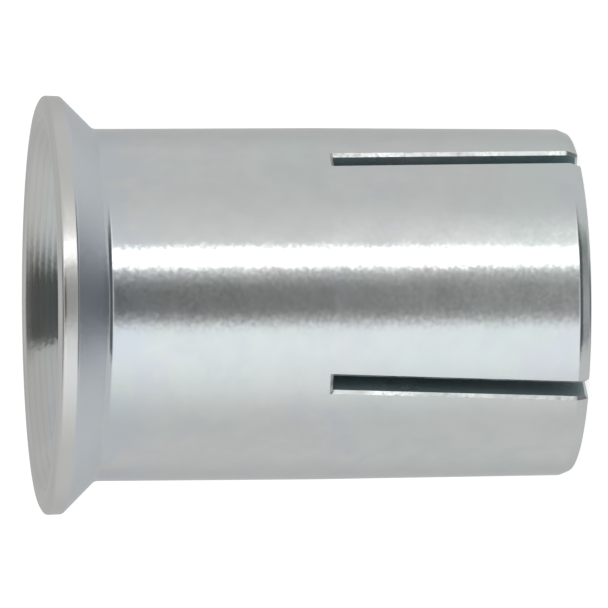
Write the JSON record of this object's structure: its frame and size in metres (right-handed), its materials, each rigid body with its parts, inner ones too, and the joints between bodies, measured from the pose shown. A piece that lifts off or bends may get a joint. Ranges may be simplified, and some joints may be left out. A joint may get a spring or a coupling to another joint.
{
  "type": "lipped drop-in anchor",
  "caption": "Steel sleeve with a flared lip, an internal thread and a split end. A tapered plug driven down its bore spreads the split end in a drilled hole.",
  "frame": {"origin": "centre of the split end, on the plane that its leaves stand on", "axes": "+Z along the axis, from the split end to the mouth with the lip; the saw slots open along X and Y"},
  "size_m": [0.015, 0.015, 0.0191],
  "materials": {
    "zinc_plate": "bright zinc plate, satin, over turned carbon steel",
    "plug_steel": "zinc plate, duller, over cold-headed carbon steel"
  },
  "bodies": {
    "sleeve": {"anchor_sleeve": "zinc_plate"},
    "plug": {"expander_plug": "plug_steel"}
  },
  "joints": [
    {"name": "plug_drive", "type": "slide", "parent": "sleeve", "child": "plug", "axis": [0, 0, -1], "range_m": [0, 0.0013]}
  ]
}
